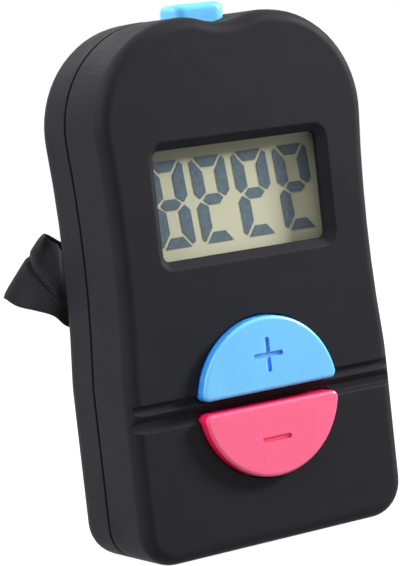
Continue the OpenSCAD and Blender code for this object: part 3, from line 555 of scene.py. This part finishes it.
def smooth(points, steps):
    """A Catmull-Rom curve through the points, with this many steps from each to the next."""
    line = []
    last = len(points) - 1
    for i in range(last):
        a, b, c, d = (points[min(max(k, 0), last)] for k in (i - 1, i, i + 1, i + 2))
        for k in range(steps):
            t = k / steps
            line.append(tuple(
                0.5 * (2 * q + (r - p) * t + (2 * p - 5 * q + 4 * r - s) * t * t
                       + (3 * q - p - 3 * r + s) * t ** 3)
                for p, q, r, s in zip(a, b, c, d)))
    line.append(points[-1])
    return line


def clamped(value):
    return min(max(value, 0), 1)


def sink(length, u):
    """How far the crease pushes the webbing in, at a length along it and a place across it."""
    along = clamped((length - CREASE_START) / CREASE_LENGTH)
    share = clamped((length - FADE_IN) / FADE_IN_LENGTH) * clamped((FADE_OUT - length) / FADE_OUT_LENGTH)
    past = (u - (CREASE_FROM + CREASE_SHIFT * along)) * WIDTH / 2
    valley = (VALLEY_DEPTH - VALLEY_LOSS * along ** 3) * math.exp(-(past / VALLEY_WIDTH) ** 2)
    ridge = RIDGE_HEIGHT * (1 - along ** 3) * math.exp(-((past - RIDGE_PAST) / RIDGE_WIDTH) ** 2)
    return share * (valley - ridge)


def cross_section(centre, side, out, length):
    """The points round the webbing, each with its distance from the middle line."""
    points = []
    for face, row in ((-1, range(ACROSS + 1)), (1, range(ACROSS, -1, -1))):
        for k in row:
            u = k / ACROSS * 2 - 1
            middle = 1 - abs(u) ** EDGE_POWER
            half = THICKNESS / 2 * (EDGE_SHARE + (1 - EDGE_SHARE) * middle)
            reach = u * WIDTH / 2
            points.append((centre + side * reach + out * (face * half + sink(length, u)), reach))
    return points


# The weave, with ribs across and bands along, and painted shade darkening its folds, in metres
RIB_SCALE, RIB_WAVER, RIB_LOW = 0.8, 0.3, 0.55
BAND_SCALE = 0.9
WEAVE_LOW, WEAVE_HIGH = (0.006, 0.0057, 0.0085), (0.0112, 0.0107, 0.0144)
WEAVE_DEPTH = 0.00006
FOLD_REACH, FOLD_OPEN, FOLD_CLOSED = 0.0015, 0.9, 0.55
FOLD_SHADE_COLOR = (0.002, 0.002, 0.003)


def webbing_material():
    mat, tree, bsdf = material("webbing")
    place = node(tree, "TexCoord").outputs["UV"]
    ribs = node(tree, "TexWave", wave_type="BANDS", bands_direction="X",
                Scale=RIB_SCALE, Distortion=RIB_WAVER)
    bands = node(tree, "TexWave", wave_type="BANDS", bands_direction="Y", Scale=BAND_SCALE)
    tree.links.new(place, ribs.inputs["Vector"])
    tree.links.new(place, bands.inputs["Vector"])
    shallow = varied(tree, ribs.outputs["Fac"], RIB_LOW, 1)
    weave = calculated(tree, "MULTIPLY", shallow, bands.outputs["Fac"])
    base = colored(tree, weave, WEAVE_LOW, WEAVE_HIGH, 0, 1)
    # Painted shade: the webbing turns near black where its crease and folds close it in
    fold_shade = hollows(tree, FOLD_REACH, FOLD_OPEN, FOLD_CLOSED)
    tree.links.new(blended(tree, fold_shade, base, FOLD_SHADE_COLOR), bsdf.inputs["Base Color"])
    bumped(tree, bsdf, weave, WEAVE_DEPTH)
    bsdf.inputs["Roughness"].default_value = 0.8
    bsdf.inputs["Specular IOR Level"].default_value = 0.2
    bsdf.inputs["Sheen Weight"].default_value = 0.12
    return mat


def make_strap():
    route = smooth(ROUTE, ROUTE_STEPS)
    centres = [Vector(point[:3]) for point in route]
    last = len(route) - 1
    bm = bmesh.new()
    uv = bm.loops.layers.uv.new("weave")
    rings, run, length = [], [], 0.0
    for i, centre in enumerate(centres):
        if i:
            length += (centre - centres[i - 1]).length
        along = centres[min(i + 1, last)] - centres[max(i - 1, 0)]
        tilt, twist = (math.radians(angle) for angle in route[i][3:])
        side = Vector((math.sin(tilt) * math.cos(twist), math.sin(twist),
                       math.cos(tilt) * math.cos(twist)))
        out = along.cross(side).normalized()
        rings.append([(bm.verts.new(point * MM), reach)
                      for point, reach in cross_section(centre, side, out, length)])
        run.append(length)
    count = len(rings[0])
    for i in range(last):
        for k in range(count):
            j = (k + 1) % count
            quad = (rings[i][k], rings[i + 1][k], rings[i + 1][j], rings[i][j])
            face = bm.faces.new([vert for vert, _ in quad])
            lengths = (run[i], run[i + 1], run[i + 1], run[i])
            for loop, (_, reach), at in zip(face.loops, quad, lengths):
                loop[uv].uv = (at, reach)
    bm.faces.new([vert for vert, _ in rings[0]])
    bm.faces.new([vert for vert, _ in rings[-1]][::-1])
    bmesh.ops.recalc_face_normals(bm, faces=bm.faces)
    for face in bm.faces:
        face.smooth = True
    strap = add_object("strap_webbing", bm, webbing_material())
    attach(strap, "case")
    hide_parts("hand_strap")


make_strap()

scene.view_settings.view_transform = "Standard"
